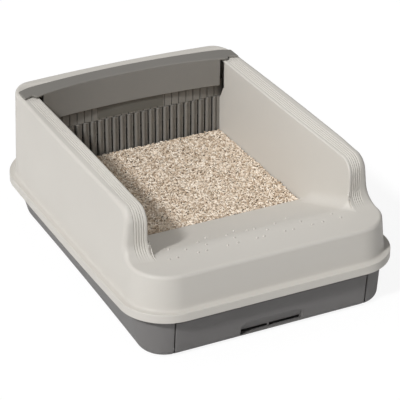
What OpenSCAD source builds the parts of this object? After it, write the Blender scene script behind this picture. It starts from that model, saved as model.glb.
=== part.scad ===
// Drawer litter box: a base tub with a pull-out drawer, a slotted litter tray and a high-walled upper shell.
// Front is -Y, up is +Z, and the origin is on the floor under the middle of the box.

/* [Skirt of the upper shell] */
// Width of the skirt between its corners
skirt_w = 414; // [390:1:440]
// Depth of the skirt over all
skirt_d = 555; // [525:1:590]
// Height of the skirt's lower edge above the floor
skirt_z = 65; // [62:0.5:70]
// Height of the skirt's upright band
skirt_h = 13; // [9:0.5:16]
// Radius of the skirt's front corners in plan
skirt_front_r = 68; // [60:1:80]
// Radius of the skirt's rear corners in plan
skirt_rear_r = 84; // [70:1:90]
// How far the long sides bulge outward
side_bow = 3.2; // [0:0.2:6]
// How far the rear side bulges outward
rear_bow = 9.4; // [4:0.2:14]

/* [Walls of the upper shell] */
// Width of the sloping ledge between skirt and wall
ledge_w = 10.3; // [8:0.1:13]
// Rise of that ledge
ledge_rise = 8; // [5:0.5:10]
// Height of the rim above the floor
rim_z = 200.6; // [185:0.2:220]
// How far each side wall leans in from its foot to the rim
side_lean = 14.4; // [10:0.2:20]
// How far the front wall leans in from its foot to the rim
front_lean = 6.9; // [4:0.1:10]
// How far the rear wall leans in from its foot to the rim
rear_lean = 7.2; // [4:0.1:10]
// Radius of the rear corners at the rim
rim_rear_r = 30; // [24:1:40]
// Rounding of the rim's outer edge
rim_round = 5; // [2:0.5:6]
// Thickness of the shell's walls
shell_t = 2.5; // [2:0.1:3.5]

/* [Opening and entry] */
// Width of the opening between the side walls
pit_w = 312; // [296:1:316]
// Height of the entry deck above the floor
deck_z = 129.6; // [115:0.2:140]
// Depth of the flat part of the deck, from the skirt's front edge
deck_d = 81.5; // [74:0.5:95]
// Distance of the upright front faces of the side walls from the skirt's front edge
pillar_y = 89; // [80:0.5:92]
// Radius at the top of those front faces
pillar_top_r = 24; // [16:1:30]
// Radius where those front faces run out on the deck
pillar_foot_r = 25; // [18:1:28]
// Distance of the litter's front edge from the skirt's front edge
ramp_end = 219.5; // [200:0.5:240]

/* [Litter] */
// Height of the litter's surface above the floor
litter_z = 76; // [72:0.5:82]
// Gap between the litter and the shell round it
litter_gap = 0.5; // [0.3:0.1:1]
// How far the bed's closed surface lies under the pellets' tops
litter_sunk = 1.5; // [1:0.1:3]
// How far that surface rises and falls
litter_wave = 0.7; // [0.2:0.1:1]

/* [Base tub] */
// Slope-in of each of the base's sides from its top to the foot
base_flare = 11.5; // [6:0.1:20]
// How far those sides bulge outward at the floor; below zero they are hollow
base_bow = -3; // [-6:0.2:4]
// How much further out their front ends are at the floor than their middles
base_taper = 4.2; // [0:0.2:6]
// Slope-in of the base's front from its top to the foot
front_flare = 6; // [3:0.1:10]
// Slope-in of the base's rear from its top to the foot
rear_flare = 4; // [2:0.1:12]
// Height at which the flare ends
flare_z = 62; // [58:0.5:62]
// Gap between the base's rim and the inside of the skirt
skirt_gap = 10; // [8:0.1:10.5]
// Radius of the base's front corners at the floor
base_front_r = 39; // [34:1:50]
// Radius of the base's rear corners at the floor
base_rear_r = 64; // [50:1:72]
// Rounding of the base's lower edge
base_round = 11; // [8:0.5:12]
// Thickness of the base's walls
base_t = 2.5; // [2:0.1:3.5]
// Thickness of the base's floor
base_floor_t = 2.5; // [2:0.1:4]
// Width of the inner ledge that carries the tray
ledge_in_w = 8; // [6:0.5:10]
// Thickness of that ledge
ledge_in_t = 3; // [2:0.5:4]

/* [Drawer] */
// Width of the drawer front
drawer_w = 299; // [270:1:310]
// Distance of the drawer front's upper edge below the skirt's lower edge
front_drop = 9.2; // [5:0.1:9.5]
// Gap round the drawer front
seam = 1.2; // [0.8:0.1:2]
// Thickness of the drawer front
front_t = 3; // [2.5:0.1:4]
// Width of the drawer pan
pan_w = 292; // [260:1:292]
// Height of the drawer pan
pan_h = 46; // [35:0.5:47]
// Distance of the pan's front wall from the base's front at the floor
pan_front_gap = 18.7; // [17:0.1:24]
// Distance of the pan's rear wall from the base's rear at the floor
pan_rear_gap = 25.9; // [24:0.1:40]
// Thickness of the pan's walls and floor
pan_t = 2.2; // [1.8:0.1:3]
// Thickness of the absorbent pad
pad_t = 4; // [2:0.5:8]
// Gap between the pad and the pan's walls
pad_gap = 4; // [2:0.5:10]

/* [Finger recess] */
// Width of the recess
recess_w = 99; // [70:1:120]
// Offset of the recess to the right of the middle
recess_x = 0; // [-20:1:20]
// Height of the recess's upper edge above the floor
recess_z = 27.5; // [26:0.5:34]
// Depth of the recess at its lower edge
recess_depth = 5; // [3:0.5:8]
// Radius of the recess's upper corners
recess_r = 13; // [4:0.5:15]
// Height of the two slots
slot_h = 3; // [2:0.5:4]
// Height of the sill under the slots
sill_h = 6.7; // [5:0.1:7.5]
// Width of the bridge between the slots
bridge_w = 2.4; // [1.5:0.1:5]
// Offset of that bridge to the left of the recess's middle
bridge_off = 3.4; // [0:0.2:8]

/* [Sieve tray] */
// Thickness of the tray
tray_t = 2.5; // [2:0.1:3.5]
// Height of the tray's floor above the room's floor
tray_floor_z = 58; // [56:0.5:62]
// Length of a drain slot
drain_l = 50; // [30:1:60]
// Width of a drain slot
drain_w = 3; // [2:0.5:5]

/* [Rear grille] */
// Distance of the grille's front from the skirt's rear edge
grille_y = 65.5; // [62:0.5:67]
// Height of the grille's upper edge above the floor
grille_top = 160; // [155:0.5:160]
// Thickness of the grille's plate
grille_t = 3; // [2.5:0.1:4]
// Distance from slat to slat
slat_pitch = 12.4; // [10:0.1:16]
// Number of slats
slat_count = 24; // [12:2:24]
// Width of the slots between the slats
slat_gap = 2.6; // [2:0.1:4]
// Height of the slots' upper ends above the floor
slot_top = 131; // [120:0.5:132]
// Width of the plain pad in the middle of the grille
pad_w = 112; // [60:1:160]
// Height of the pad's lower edge above the floor
pad_z = 136; // [134:0.5:145]
// How far the pad and the upper ribs stand proud
proud = 1.2; // [0.6:0.1:1.5]
// How far the ribs beside the slots stand proud
rib_proud = 2.2; // [1.5:0.1:2.6]

/* [Rear cap] */
// Thickness of the cap's plate
cap_t = 2.8; // [2:0.1:4]
// Distance of the cap's rear edge from the skirt's rear edge
cap_back = 36.5; // [34:0.5:38]
// Distance of the cap's front edge from the skirt's rear edge, in the middle
cap_front = 64.2; // [62:0.1:65]
// How much further forward the front edge is at the apron's ends
cap_bow = 16.8; // [12:0.2:20]
// Width of the apron
apron_w = 297; // [280:1:302]
// Height of the apron's lower edge above the floor
apron_z = 157; // [150:0.5:165]
// How far the apron's lower edge hangs in front of its upper edge, in the middle
apron_lean = 6.4; // [5.5:0.1:9]
// How much further forward the lower edge is at the apron's ends
apron_bow = 9.6; // [6:0.2:12]
// Thickness of the apron
apron_t = 2.5; // [2:0.1:3]

/* [Feet] */
// Length of a foot
foot_l = 36; // [20:1:50]
// Width of a foot
foot_w = 14; // [8:1:20]
// Height of a foot that shows under the base
foot_h = 1; // [0.5:0.1:2]
// Depth of a foot's pocket in the base
foot_sunk = 0.8; // [0.4:0.1:1.2]
// Distance of the feet's middles from the base's side at the floor
foot_side_gap = 55; // [35:0.1:70]
// Distance of the front feet's middles from the base's front at the floor
foot_front_gap = 54; // [35:0.1:70]
// Distance of the rear feet's middles from the base's rear at the floor
foot_rear_gap = 56.6; // [35:0.1:70]

/* [Hidden] */

thin = 0.05;             // thickness of the slices that a loft joins
past = 1;                // how far a cut runs past what it cuts
far = 20;                // how far the large cutters of the opening run past the shell
arc_steps = 8;           // straight pieces in a quarter-circle corner
side_steps = 6;          // straight pieces along one side
clear = 0.3;             // gap between pieces that move past each other

front_y = -skirt_d / 2;
rear_y = skirt_d / 2 - rear_bow;         // the rear edge at its corners
skirt_hw = skirt_w / 2;
wall_z = skirt_z + skirt_h + ledge_rise;
wall_h = rim_z - wall_z;
pit_hw = pit_w / 2;
cap_z = rim_z + cap_t;

// An outline is [half width, front y, rear y, front radius, rear radius, bulge of the sides, their taper].
function inset(o, d) = [o[0] - d, o[1] + d, o[2] - d, max(o[3] - d, 1), max(o[4] - d, 1), o[5], o[6]];
function between(a, b, t) = [for (i = [0 : 6]) a[i] + (b[i] - a[i]) * t];

function corner(cx, cy, r, from) =
    [for (i = [0 : arc_steps]) let (a = from + 90 * i / arc_steps) [cx + r * cos(a), cy + r * sin(a)]];
function edge(a, b) = [for (i = [1 : side_steps - 1]) a + (b - a) * i / side_steps];

function rounded(o) =
    let (hw = o[0], yf = o[1], yb = o[2], rf = o[3], rb = o[4],
         c1 = corner(hw - rf, yf + rf, rf, -90),
         c2 = corner(hw - rb, yb - rb, rb, 0),
         c3 = corner(-hw + rb, yb - rb, rb, 90),
         c4 = corner(-hw + rf, yf + rf, rf, 180))
    concat(c1, edge(c1[arc_steps], c2[0]), c2, edge(c2[arc_steps], c3[0]),
           c3, edge(c3[arc_steps], c4[0]), c4, edge(c4[arc_steps], c1[0]));

// The sides and the rear bulge smoothly, most in their middles, and the sides may narrow to the rear.
function bowed(o) =
    [for (p = rounded(o))
        let (u = p.x / o[0], w = 2 * (p.y - (o[1] + o[2]) / 2) / (o[2] - o[1]))
        [p.x + u * (o[5] * (1 - w * w) - o[6] * w), p.y + (w > 0 ? rear_bow * w * (1 - u * u) : 0)]];

module slice(o, z) {
    translate([0, 0, z]) linear_extrude(thin) polygon(bowed(o));
}

// levels is a list of [outline, height]. The last slice lies under its height, so the loft ends there.
module loft(levels) {
    last = len(levels) - 1;
    for (i = [0 : last - 1])
        hull() {
            slice(levels[i][0], levels[i][1]);
            slice(levels[i + 1][0], levels[i + 1][1] - (i + 1 == last ? thin : 0));
        }
}

module straight(o, z0, z1) {
    translate([0, 0, z0]) linear_extrude(z1 - z0) polygon(bowed(o));
}

// Extrudes a profile of [y, z] points along X, from -hw to +hw.
module along_x(profile, hw) {
    translate([-hw, 0, 0]) rotate([90, 0, 90]) linear_extrude(2 * hw) polygon(profile);
}

module box(x, y, z) {
    translate([x[0], y[0], z[0]]) cube([x[1] - x[0], y[1] - y[0], z[1] - z[0]]);
}

// Joins a row of sections, each a list of [x, y, z] points, into one solid.
module joined(sections) {
    n = len(sections[0]);
    last = len(sections) - 1;
    polyhedron(
        points = [for (s = sections) each s],
        faces = concat(
            [[for (i = [0 : n - 1]) i]],
            [for (k = [0 : last - 1], i = [0 : n - 1], half = [0, 1])
                let (a = k * n + i, b = k * n + (i + 1) % n)
                half == 0 ? [a, a + n, b] : [b, a + n, b + n]],
            [[for (i = [n - 1 : -1 : 0]) last * n + i]]));
}

// ---- outlines of the shell ----

skirt = [skirt_hw, front_y, rear_y, skirt_front_r, skirt_rear_r, side_bow, 0];
foot_of_wall = inset(skirt, ledge_w);
top_of_wall = [foot_of_wall[0] - side_lean, foot_of_wall[1] + front_lean, foot_of_wall[2] - rear_lean,
               foot_of_wall[3] - (side_lean + front_lean) / 2, rim_rear_r, side_bow, 0];
function wall_at(z) = between(foot_of_wall, top_of_wall, (z - wall_z) / wall_h);
band_round = 1.6;        // rounding at the top of the skirt's band
band_z = skirt_z + skirt_h;
ledge_shape = [[0.55, 0.12], [0.87, 0.45]];      // the hollow ledge's rise at two shares of its width
function ledge_levels(t) =
    [for (p = ledge_shape) [inset(skirt, t + ledge_w * p.x), band_z - t + ledge_rise * p.y]];

module shell_outside() {
    loft(concat([[skirt, skirt_z], [skirt, band_z - band_round], [inset(skirt, band_round / 2), band_z]],
                ledge_levels(0),
                [[foot_of_wall, wall_z], [wall_at(rim_z - rim_round), rim_z - rim_round],
                 [inset(wall_at(rim_z - rim_round * 0.3), rim_round * 0.3), rim_z - rim_round * 0.3],
                 [inset(wall_at(rim_z), rim_round), rim_z]]));
}

module shell_hollow() {
    loft(concat([[inset(skirt, shell_t), skirt_z - past], [inset(skirt, shell_t), band_z - shell_t]],
                ledge_levels(shell_t),
                [[inset(foot_of_wall, shell_t), wall_z - shell_t],
                 [inset(wall_at(rim_z - rim_round), shell_t), rim_z - rim_round],
                 [inset(wall_at(rim_z), rim_round), rim_z - shell_t + thin]]));
}

// ---- the opening, the entry and the ramp ----

deck_back = front_y + deck_d;
pillar_front = front_y + pillar_y;
toe_y = front_y + ramp_end;
toe_z = litter_z - litter_gap;
pit_start = pillar_front - pillar_foot_r - past;
skirt_low = tray_floor_z + tray_t / 2;   // lower edge of the funnel, just above the tray

function arc(cy, cz, r, from, to, n) =
    [for (i = [0 : n]) let (a = from + (to - from) * i / n) [cy + r * cos(a), cz + r * sin(a)]];

// The space above the entry: over the deck, up the front faces of the side walls and over their tops.
// lift moves the profile down and back by a wall thickness, to leave that wall standing.
function entry(lift) =
    let (rt = pillar_top_r - lift, rf = pillar_foot_r + lift, y0 = pillar_front + lift, dz = deck_z - lift,
         top = rim_z - lift)
    concat([[front_y - far, rim_z + far], [front_y - far, dz]],
           arc(y0 - rf, dz + rf, rf, -90, 0, arc_steps),
           arc(y0 + rt, top - rt, rt, 180, 90, arc_steps),
           [[y0 + rt, rim_z + far]]);

// The space between the side walls, in front of the grille: down the ramp, its toe and back up.
function pit(lift, back) =
    [[pit_start, rim_z + far], [pit_start, deck_z - lift], [deck_back, deck_z - lift],
     [toe_y - lift, toe_z - lift], [toe_y - lift, skirt_z - far], [back, skirt_z - far], [back, rim_z + far]];

grille_front = skirt_d / 2 - grille_y;
wall_end_gap = 2.3;                      // gap between the inner walls' ends and the grille
wall_end_step = 17;                      // how far those ends lie in front of the grille beside the apron
wall_end_low = grille_front - wall_end_gap;
wall_end_high = grille_front - wall_end_step;
wall_end_z = [130, 152];                 // heights between which the end steps forward
cap_lap = 5;                             // how far the cap laps over the rear rim
rear_open_y = skirt_d / 2 - cap_back - cap_lap;
funnel_lap = 4;                          // how far the funnel runs up into the shell

module shell_skins() {
    difference() {
        shell_outside();
        along_x(entry(0), skirt_hw);
        difference() {
            shell_hollow();
            along_x(entry(shell_t), skirt_hw + past);
            along_x(pit(shell_t, wall_end_low + past), pit_hw + shell_t);
        }
    }
}

// The inner walls' lower edges reach down into the tray, all round the litter.
module funnel() {
    z = [skirt_low, skirt_z + funnel_lap];
    for (s = [-1, 1])
        box([s * (pit_hw + shell_t / 2) - shell_t / 2, s * (pit_hw + shell_t / 2) + shell_t / 2],
            [toe_y - shell_t, wall_end_low + past], z);
    box([-pit_hw - shell_t, pit_hw + shell_t], [toe_y - shell_t, toe_y + past], z);
}

module upper_shell() color("#cfccc6") {
    difference() {
        union() {
            shell_skins();
            funnel();
        }
        along_x(pit(0, rear_open_y), pit_hw);
        // The inner walls step forward beside the apron, with a slanted stretch between the two heights.
        along_x([[wall_end_low, skirt_low - past], [wall_end_low, wall_end_z[0]],
                 [wall_end_high, wall_end_z[1]], [wall_end_high, rim_z - shell_t],
                 [rear_open_y, rim_z - shell_t], [rear_open_y, skirt_low - past]],
                pit_hw + shell_t + past);
    }
}

// ---- base tub ----

rim_of_base = inset(skirt, shell_t + skirt_gap);
foot_of_base = [rim_of_base[0] - base_flare, rim_of_base[1] + front_flare,
                rim_of_base[2] - rear_flare, base_front_r, base_rear_r, base_bow, base_taper];
function base_at(z) = between(foot_of_base, rim_of_base, min(z / flare_z, 1));
base_z = foot_h;
base_top = band_z - shell_t - clear
    + ledge_rise * lookup(skirt_gap / ledge_w, concat([[0, 0]], ledge_shape, [[1, 1]]));
floor_top = base_z + base_floor_t;
ledge_above = 4;                         // height of the inner ledge above the skirt's lower edge
ledge_top = skirt_z + ledge_above;
front_top = skirt_z - front_drop;
opening_top = front_top + seam;
guide_w = 2.5;
guide_h = 22;
guide_gap = 2.5;                         // gap between the guides and the drawer pan
guide_short = 6;                         // the guides end this far before the pan's rear wall

round_steps = 4;         // straight pieces in the rounding of the lower edge

// Levels of a rounded lower edge of radius r over the height z, t inside the base's outside.
function round_levels(r, z, t) =
    [for (i = [0 : round_steps]) let (a = 90 * i / round_steps, h = z + r * (1 - cos(a)))
        [inset(base_at(h), t + r * (1 - sin(a))), h]];

module base_outside() {
    loft(concat(round_levels(base_round, base_z, 0), [[rim_of_base, flare_z], [rim_of_base, base_top]]));
}

module base_hollow() {
    loft(concat(round_levels(base_round - base_t, floor_top, base_t),
                [[inset(rim_of_base, base_t), flare_z], [inset(rim_of_base, base_t), base_top + past]]));
}

module tray_ledge() {
    difference() {
        straight(inset(rim_of_base, base_t / 2), ledge_top - ledge_in_t, ledge_top);
        straight(inset(rim_of_base, base_t + ledge_in_w), ledge_top - ledge_in_t - past, ledge_top + past);
    }
}

module drawer_guide(side) {
    inner = pan_w / 2 + guide_gap;
    x = side > 0 ? [inner, inner + guide_w] : [-inner - guide_w, -inner];
    box(x, [pan_front, pan_back - guide_short], [floor_top - past / 2, floor_top + guide_h]);
}

module base_tub() color("#6b6a68") {
    difference() {
        union() {
            difference() {
                base_outside();
                base_hollow();
            }
            tray_ledge();
            for (side = [-1, 1]) drawer_guide(side);
        }
        // the drawer's way out at the front
        box([-drawer_w / 2 - seam, drawer_w / 2 + seam], [front_y - past, pan_front - clear],
            [-past, opening_top]);
        for (p = foot_places) translate([p.x, p.y, base_z - past]) foot_form(past + foot_sunk, clear);
    }
}

// ---- feet ----

foot_x = foot_of_base[0] - foot_side_gap;
foot_y = [foot_of_base[1] + foot_front_gap, foot_of_base[2] - foot_rear_gap];
foot_places = [for (y = foot_y, s = [-1, 1]) [s * foot_x, y]];

module foot_form(h, grow) {
    r = foot_w / 2 + grow;
    linear_extrude(h) {
        square([foot_l - foot_w, 2 * r], center = true);
        for (s = [-1, 1]) translate([s * (foot_l - foot_w) / 2, 0]) circle(r, $fn = 48);
    }
}

module foot(i) color("#3a3a3a") translate([foot_places[i].x, foot_places[i].y, 0])
    foot_form(foot_h + foot_sunk, 0);

// ---- drawer ----

// The drawer front follows the base's own outline, so it lies flush between the base's corners.
function round_in(z) =
    let (h = max(base_z + base_round - z, 0)) base_round - sqrt(base_round * base_round - h * h);
function face_y(z) = base_at(z)[1] + round_in(z);
function front_flat(z) = base_at(z)[0] - base_at(z)[3];
function face_at(x, z) =
    let (o = inset(base_at(z), round_in(z)), past_flat = max(abs(x) - front_flat(z), 0))
    o[1] + o[3] - sqrt(o[3] * o[3] - past_flat * past_flat);
function front_inside(z) =
    lookup(z, [[base_z + base_round, face_y(base_z) - front_in_r],
               [front_top, face_y(front_top) + front_t]]);
front_raise = 0.2;                       // how far the drawer front's foot lies above the base's
front_low = base_z + front_raise;
pan_front = foot_of_base[1] + pan_front_gap;
pan_back = foot_of_base[2] - pan_rear_gap;
pan_lift = 0.5;                          // gap between the pan and the base's floor
pan_z = floor_top + pan_lift;
slot_z = front_low + sill_h;
slot_land = 0.5;                         // the scooped surface ends this far above the slots
recess_low = slot_z + slot_h + slot_land;
slot_inset = 3;                          // distance of the slots' outer ends from the recess's sides
front_in_r = base_round - front_t;       // rounding of the drawer front's lower edge on its inside
front_return = 2;                        // how far that edge runs on towards the pan
end_steps = 3;

module front_skin() {
    hw = drawer_w / 2;
    flat = min(front_flat(front_top), front_flat(base_z), hw - end_steps);
    ends = [for (i = [0 : end_steps]) flat + (hw - flat) * i / end_steps];
    turns = [for (i = [round_steps : -1 : 1]) 90 * i / round_steps];
    joined([for (x = concat([for (i = [end_steps : -1 : 0]) -ends[i]], ends))
        let (low_y = face_at(x, base_z))
        concat([[x, face_at(x, front_top), front_top]],
               [for (a = turns) let (z = base_z + base_round * (1 - cos(a))) [x, face_at(x, z), z]],
               [[x, face_at(x, front_low), front_low], [x, low_y + front_return, front_low],
                [x, low_y + front_return, base_z + front_t]],
               [for (i = [round_steps - 1 : -1 : 0]) let (a = turns[i])
                   [x, low_y - front_in_r * sin(a), base_z + base_round - front_in_r * cos(a)]],
               [[x, face_at(x, front_top) + front_t, front_top]])]);
}

// The outline of the recess, seen from the front.
module recess_window(grow) {
    translate([recess_x, 0, 0]) rotate([90, 0, 0]) linear_extrude(skirt_d)
        hull() {
            for (s = [-1, 1]) translate([s * (recess_w / 2 - recess_r), recess_z - recess_r])
                circle(recess_r + grow, $fn = 32);
            translate([-recess_w / 2 - grow, 0]) square([recess_w + 2 * grow, 1]);
        }
}

// The recess slopes in from the face at its upper edge to its full depth above the slots.
recess_lip = 0.7;                        // depth of the recess at its upper edge
recess_slope = (face_y(recess_low) + recess_depth - face_y(recess_z) - recess_lip) / (recess_low - recess_z);
function recess_y(z) = face_y(recess_z) + recess_lip + recess_slope * (z - recess_z);

module recess_cut() {
    above = recess_z + 2 * front_t;
    intersection() {
        along_x([[front_y - past, above], [recess_y(above), above], [recess_y(recess_low), recess_low],
                 [recess_y(recess_low), slot_z], [front_y - past, slot_z]], drawer_w / 2);
        recess_window(0);
    }
}

// The wall behind the recess. Its front lies in the middle of the drawer front's own thickness.
module recess_back() {
    above = recess_z + front_t;
    back = recess_y(recess_low) + front_t;
    mid_r = base_round - front_t / 2;
    run_in = face_y(base_z) - back;
    intersection() {
        along_x(concat([[face_y(above) + front_t / 2, above], [face_y(above) + front_t * 0.8, above],
                        [back, recess_low],
                        [back, base_z + base_round - sqrt(mid_r * mid_r - run_in * run_in)]],
                       [for (a = [45, 67.5, 90])
                           [face_y(base_z) - mid_r * sin(a), base_z + base_round - mid_r * cos(a)]]),
                drawer_w / 2);
        recess_window(front_t);
    }
}

module drawer_front() color("#5f5e5d") {
    difference() {
        union() {
            front_skin();
            recess_back();
            // the lower edge turns back towards the pan and closes the recess from below
            box([recess_x - recess_w / 2 - 2 * front_t, recess_x + recess_w / 2 + 2 * front_t],
                [face_y(base_z), pan_front - 3 * clear], [front_low, base_z + front_t]);
        }
        recess_cut();
        for (x = [[recess_x - recess_w / 2 + slot_inset, recess_x - bridge_off - bridge_w / 2],
                  [recess_x - bridge_off + bridge_w / 2, recess_x + recess_w / 2 - slot_inset]])
            box(x, [front_y, pan_front - clear], [slot_z + clear, slot_z + slot_h]);
    }
}

lug_in = 41;                             // distance of the lugs that join pan and front from the pan's sides
lug_x = pan_w / 2 - lug_in;
lug_z = [20, 34];
lug_hw = 6;
runner_w = 6;
runner_in = 14;                          // distance of the runners from the pan's sides
runner_short = 10;                       // distance of the runners' ends from the pan's walls

module drawer_pan() color("#6b6a68") {
    hw = pan_w / 2;
    difference() {
        box([-hw, hw], [pan_front, pan_back], [pan_z, pan_z + pan_h]);
        box([-hw + pan_t, hw - pan_t], [pan_front + pan_t, pan_back - pan_t],
            [pan_z + pan_t, pan_z + pan_h + past]);
    }
    for (s = [-1, 1])
        translate([s * lug_x, 0, 0])
            along_x([[pan_front + pan_t / 2, lug_z[0]], [front_inside(lug_z[0]), lug_z[0]],
                     [front_inside(lug_z[1]), lug_z[1]], [pan_front + pan_t / 2, lug_z[1]]], lug_hw);
    // two runners under the pan
    for (s = [-1, 1])
        box([s * (hw - runner_in) - runner_w / 2, s * (hw - runner_in) + runner_w / 2],
            [pan_front + runner_short, pan_back - runner_short], [floor_top + clear / 2, pan_z + pan_t / 2]);
}

module absorbent_pad() color("#e9eef2") {
    hw = pan_w / 2 - pan_t - pad_gap;
    box([-hw, hw], [pan_front + pan_t + pad_gap, pan_back - pan_t - pad_gap],
        [pan_z + pan_t, pan_z + pan_t + pad_t]);
}

// ---- sieve tray ----

tray_gap = 2;                            // gap between the tray and the base's walls
tray_flange = inset(rim_of_base, base_t + tray_gap);
tray_wall = inset(rim_of_base, base_t + ledge_in_w + tray_gap);
drain_margin = 5;
drain_space = 8;                         // least distance between two rows of drain slots
drain_run = wall_end_low - toe_y - 2 * drain_margin;
drain_rows = floor(drain_run / (drain_l + drain_space));
drain_step = drain_run / drain_rows;

module sieve_tray() color("#5c5b59") {
    difference() {
        union() {
            straight(tray_wall, tray_floor_z - tray_t, ledge_top + tray_t);
            straight(tray_flange, ledge_top, ledge_top + tray_t);
        }
        straight(inset(tray_wall, tray_t), tray_floor_z, ledge_top + tray_t + past);
        for (row = [0 : drain_rows - 1], i = [0 : slat_count - 2])
            translate([(i - slat_count / 2 + 1) * slat_pitch, toe_y + drain_margin + drain_step * (row + 0.5),
                       tray_floor_z - tray_t / 2])
                cube([drain_w, drain_l, tray_t + 2 * past], center = true);
    }
}

// The pellets lie in low waves.
litter_x = pit_hw - litter_gap;
litter_y = [toe_y + litter_gap, grille_front - rib_proud - litter_gap];
litter_cell = 17;                        // distance between the points of the bed's surface
wave_turn = [5.4, 4.7];                  // degrees of wave for each millimetre in X and in Y
function litter_top(x, y) =
    litter_z - litter_sunk + litter_wave * sin(wave_turn.x * x) * cos(wave_turn.y * y);

function litter_section(x, n) =
    let (ys = [for (i = [n : -1 : 1]) litter_y[0] + (litter_y[1] - litter_y[0]) * i / n])
    concat([[x, litter_y[0], litter_top(x, litter_y[0])], [x, litter_y[0], tray_floor_z],
            [x, litter_y[1], tray_floor_z]],
           [for (y = ys) [x, y, litter_top(x, y)]]);

module litter_bed() color("#c9b8a2") {
    nx = ceil(2 * litter_x / litter_cell);
    ny = ceil((litter_y[1] - litter_y[0]) / litter_cell);
    joined([for (i = [0 : nx]) litter_section(litter_x * (2 * i / nx - 1), ny)]);
}

// ---- rear grille ----

grille_out = 4;                          // how far the grille runs on behind the inner walls' ends
rib_w = 4;                               // width of the raised rib on the right of each slot
rib_rise = 4;                            // the rib runs this far up beyond the slot
slot_below = 12;                         // how far the slots run down behind the litter

module rear_grille() color("#5c5a57") {
    y = grille_front;
    hw = pit_hw + grille_out;
    slots = [for (i = [1 : slat_count - 1]) (i - slat_count / 2) * slat_pitch];
    difference() {
        union() {
            box([-hw, hw], [y, y + grille_t], [tray_floor_z, grille_top]);
            for (x = slots, b = [[rib_proud, slot_top + rib_rise],
                                 [proud, abs(x) < pad_w / 2 ? pad_z + past : grille_top]])
                box([x + slat_gap / 2, x + slat_gap / 2 + rib_w], [y - b[0], y + grille_t / 2],
                    [tray_floor_z, b[1]]);
            box([-pad_w / 2, pad_w / 2], [y - proud, y + grille_t / 2], [pad_z, grille_top]);
        }
        for (x = slots) {
            box([x - slat_gap / 2, x + slat_gap / 2], [y - rib_proud - past, y + grille_t + past],
                [litter_z - slot_below, slot_top]);
            translate([x, y - rib_proud - past, slot_top]) rotate([-90, 0, 0])
                cylinder(h = grille_t + rib_proud + 2 * past, r = slat_gap / 2, $fn = 32);
        }
    }
}

// ---- rear cap ----

apron_hw = apron_w / 2;
cap_steps = 20;
cap_back_y = skirt_d / 2 - cap_back;
cap_front_y = skirt_d / 2 - cap_front;
cap_side_gap = 2.5;                      // how far the cap's ends stay inside the shell's outer edge
cap_hw = wall_at(rim_z)[0] - cap_side_gap;
cap_back_bow = 12.5;                     // how much further forward the rear edge is near its ends
end_forward = 3.2;                       // how far the front edge's ends lie in front of the apron's ends
end_back = 8.5;                          // how far the rear edge's ends lie in front of where it turns
cap_end_y = [cap_front_y - cap_bow - end_forward, cap_back_y - cap_back_bow - end_back];
apron_step = 0.5;                        // the apron's side edges are this little way apart in X
apron_end = apron_hw + apron_step;
turn_share = 0.37;                       // both edges turn at this share of the way from apron to cap end
knee_share = 0.52;                       // and the front edge once more at this one,
knee_back = 7;                           // which lies this far behind its ends
cap_turn_x = apron_end + turn_share * (cap_hw - apron_end);
cap_knee = [apron_end + knee_share * (cap_hw - apron_end), cap_end_y[0] + knee_back];
apron_mid_z = (cap_z + apron_z) / 2;
cap_curl = 2.5;                          // the higher, the straighter the front edge's middle
cap_nose = 0.4;                          // how far the plate's front edge bulges
cap_hollow = 0.6;                        // height of the hollow under the plate's ends
cap_bearing = 4;                         // width of the strips that rest on the rim, at half that height

function cap_edge(x) = cap_front_y - cap_bow * pow(abs(x) / apron_hw, cap_curl);
function cap_rear(x) = cap_back_y - cap_back_bow * pow(x / cap_turn_x, 2);
function apron_low(x) = cap_front_y - apron_lean - apron_bow * pow(x / apron_hw, 2);

// The apron hangs from the cap's front edge and leans forward a little.
function apron_section(x) =
    let (a = cap_edge(x), b = apron_low(x), c = (a + b) / 2, t = apron_t)
    [[x, a, cap_z], [x, c, apron_mid_z], [x, b, apron_z], [x, b + t, apron_z],
     [x, c + t, apron_mid_z], [x, a + t, rim_z], [x, cap_rear(x), rim_z], [x, cap_rear(x), cap_z]];

// Beyond the apron only the plate goes on, across the rim of each side wall, a little hollow underneath.
function plate_section(x) =
    let (front = lookup(abs(x), [[apron_end, cap_edge(apron_end)], [cap_turn_x, cap_end_y[0]], cap_knee,
                                 [cap_hw, cap_end_y[0]]]),
         rear = lookup(abs(x), [[apron_end, cap_rear(apron_end)], [cap_turn_x, cap_rear(cap_turn_x)],
                                [cap_hw, cap_end_y[1]]]))
    [[x, front + cap_nose, cap_z], [x, front, rim_z + cap_t / 2], [x, front + cap_nose, rim_z],
     [x, front + cap_bearing, rim_z + cap_hollow / 2], [x, (front + rear) / 2, rim_z + cap_hollow],
     [x, rear - cap_bearing, rim_z + cap_hollow / 2], [x, rear, rim_z], [x, rear, cap_z]];

module rear_cap() color("#777472") {
    ends = [apron_end, cap_turn_x, cap_knee.x, cap_hw];
    joined(concat([for (i = [3 : -1 : 0]) plate_section(-ends[i])],
                  [for (i = [0 : cap_steps]) apron_section(-apron_hw + 2 * apron_hw * i / cap_steps)],
                  [for (x = ends) plate_section(x)]));
}

base_tub();
foot(0);  // foot_front_left
foot(1);  // foot_front_right
foot(2);  // foot_rear_left
foot(3);  // foot_rear_right
drawer_pan();
drawer_front();
absorbent_pad();
sieve_tray();
rear_grille();
litter_bed();
upper_shell();
rear_cap();
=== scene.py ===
from math import asin, copysign, cos, degrees, hypot, inf, pi, radians, sin, sqrt

import bmesh
import bpy
import numpy as np
from mathutils import Matrix, Vector


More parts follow.
